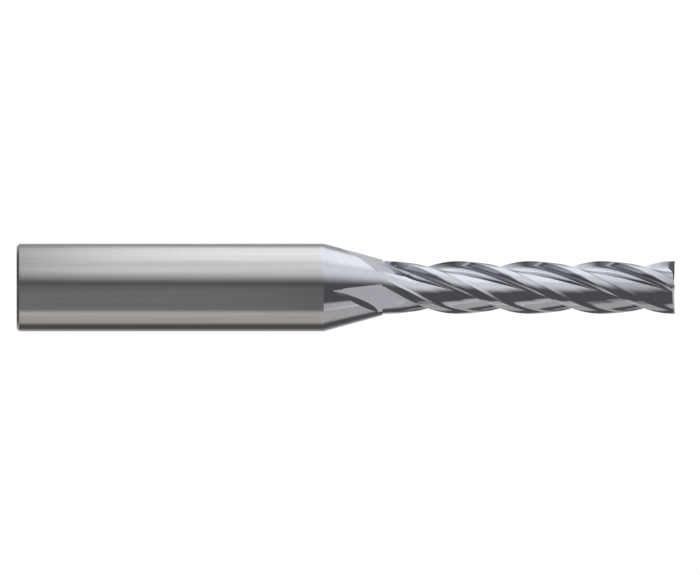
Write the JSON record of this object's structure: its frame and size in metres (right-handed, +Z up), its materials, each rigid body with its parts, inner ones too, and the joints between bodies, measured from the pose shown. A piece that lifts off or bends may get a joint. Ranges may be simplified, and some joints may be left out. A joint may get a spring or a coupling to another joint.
{
  "type": "end mill",
  "caption": "Square end mill with a plain cylindrical shank, a conical neck and long right-hand helical flutes of smaller diameter.",
  "frame": {"origin": "centre of the bounding box in X and Y, lowest facet of the shank on z = 0", "axes": "X along the tool's axis from the shank's end face to the cutting end, Z up, the tool lying on its shank"},
  "size_m": [0.075, 0.01, 0.01],
  "materials": {
    "ground_carbide": "cylindrically ground bright solid carbide, uncoated",
    "coated_carbide": "ground solid carbide under a thin glossy grey-violet hard coating"
  },
  "bodies": {
    "root": {"shank": "ground_carbide", "neck_cone": "coated_carbide", "fluted_body": "coated_carbide", "end_teeth": "coated_carbide"}
  },
  "joints": []
}
